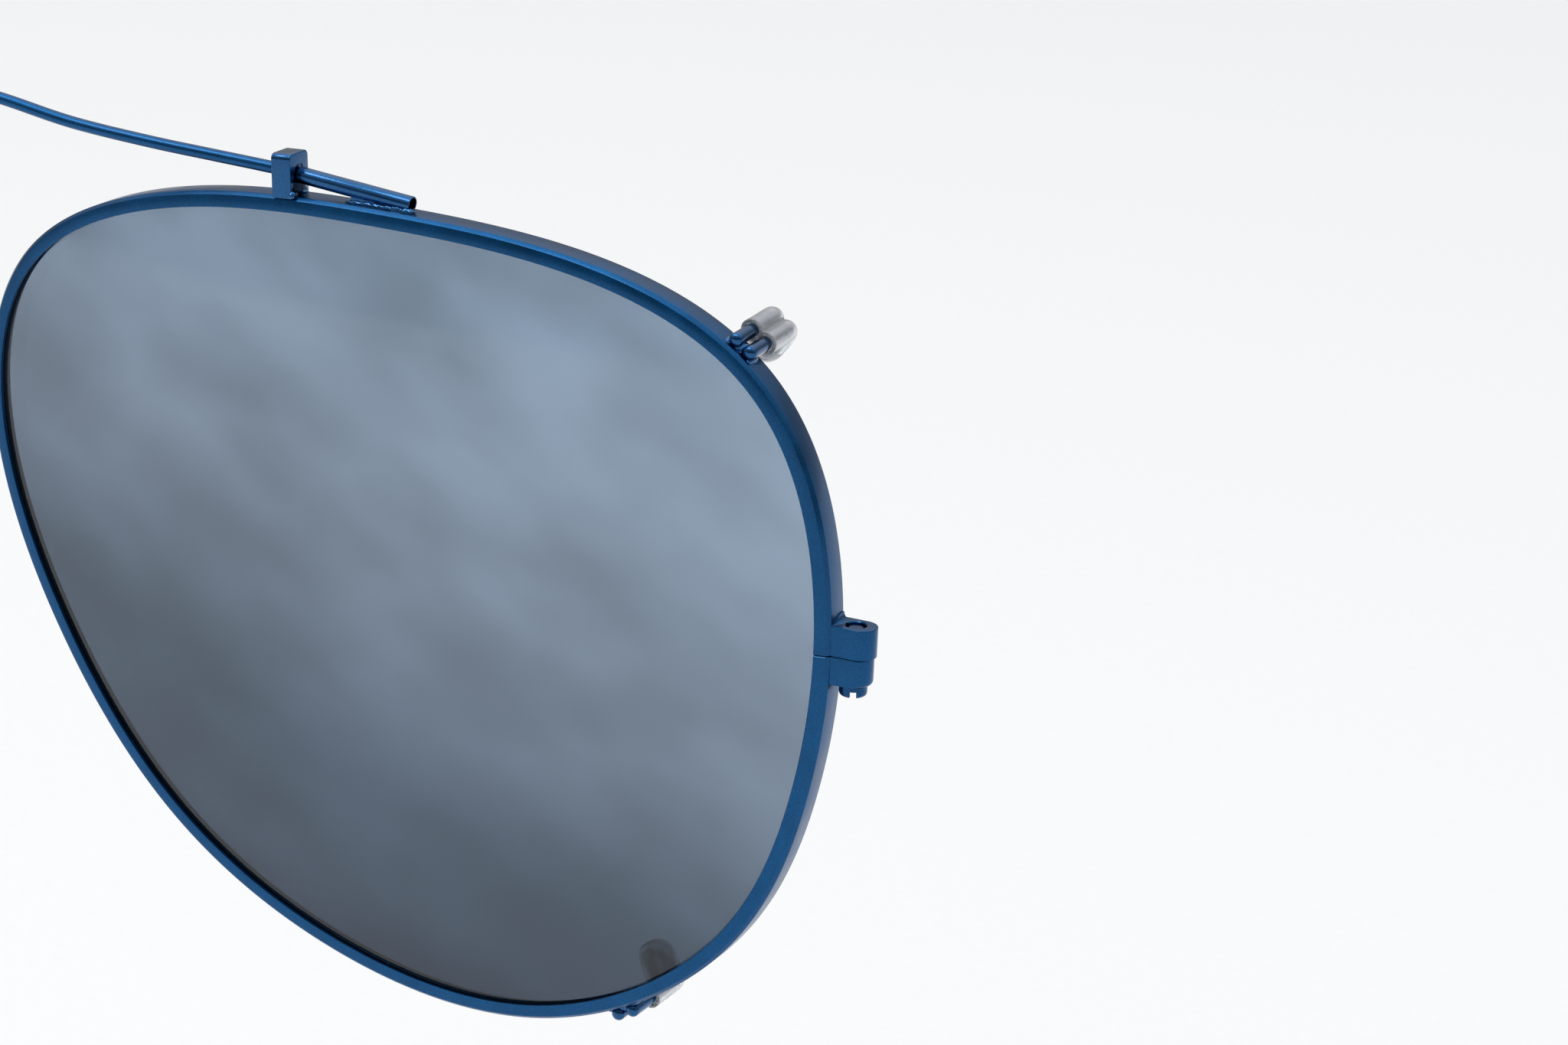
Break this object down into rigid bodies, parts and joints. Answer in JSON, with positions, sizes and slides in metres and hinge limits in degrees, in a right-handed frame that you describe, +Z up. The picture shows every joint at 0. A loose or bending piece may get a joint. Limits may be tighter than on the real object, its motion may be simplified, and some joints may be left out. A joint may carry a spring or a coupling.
{
  "type": "clip-on flip sunglass lenses",
  "caption": "Pair of tinted lenses in metal rims that hook onto spectacles and flip up on a brow bar.",
  "frame": {"origin": "middle of the brow bar, on the plane of symmetry", "axes": "as worn: +X to the wearer's left, +Y back towards the face, +Z up"},
  "size_m": [0.1336, 0.0123, 0.0547],
  "materials": {
    "bar_blue": "satin blue coating on spring wire",
    "rim_blue": "satin blue coating",
    "fitting_blue": "satin blue coating over soldered joints",
    "screw_blue": "satin blue coating, bare at the threaded end",
    "lens_grey": "grey sun tint with a soft mirror coating",
    "sleeve_clear": "clear soft vinyl tubing"
  },
  "bodies": {
    "bar": {"brow_bar": "bar_blue"},
    "left_lens_unit": {"left_rim": "rim_blue", "left_lens": "lens_grey", "left_block_upper": "rim_blue", "left_block_lower": "rim_blue", "left_closing_screw": "screw_blue", "left_guide_strap": "fitting_blue", "left_hinge_tube": "fitting_blue", "left_tube_bracket": "fitting_blue", "left_upper_prong": "fitting_blue", "left_upper_sleeve": "sleeve_clear", "left_lower_prong": "fitting_blue", "left_lower_sleeve": "sleeve_clear"},
    "right_lens_unit": {"right_rim": "rim_blue", "right_lens": "lens_grey", "right_block_upper": "rim_blue", "right_block_lower": "rim_blue", "right_closing_screw": "screw_blue", "right_guide_strap": "fitting_blue", "right_hinge_tube": "fitting_blue", "right_tube_bracket": "fitting_blue", "right_upper_prong": "fitting_blue", "right_upper_sleeve": "sleeve_clear", "right_lower_prong": "fitting_blue", "right_lower_sleeve": "sleeve_clear"}
  },
  "joints": [
    {"name": "left_flip", "type": "hinge", "parent": "bar", "child": "left_lens_unit", "pos_m": [0.03374, 0.00251, -0.00407], "axis": [-0.9865, -0.0863, 0.1392], "range_deg": [0, 90]},
    {"name": "right_flip", "type": "hinge", "parent": "bar", "child": "right_lens_unit", "pos_m": [-0.03374, 0.00251, -0.00407], "axis": [-0.9865, 0.0863, -0.1392], "range_deg": [0, 90]}
  ]
}
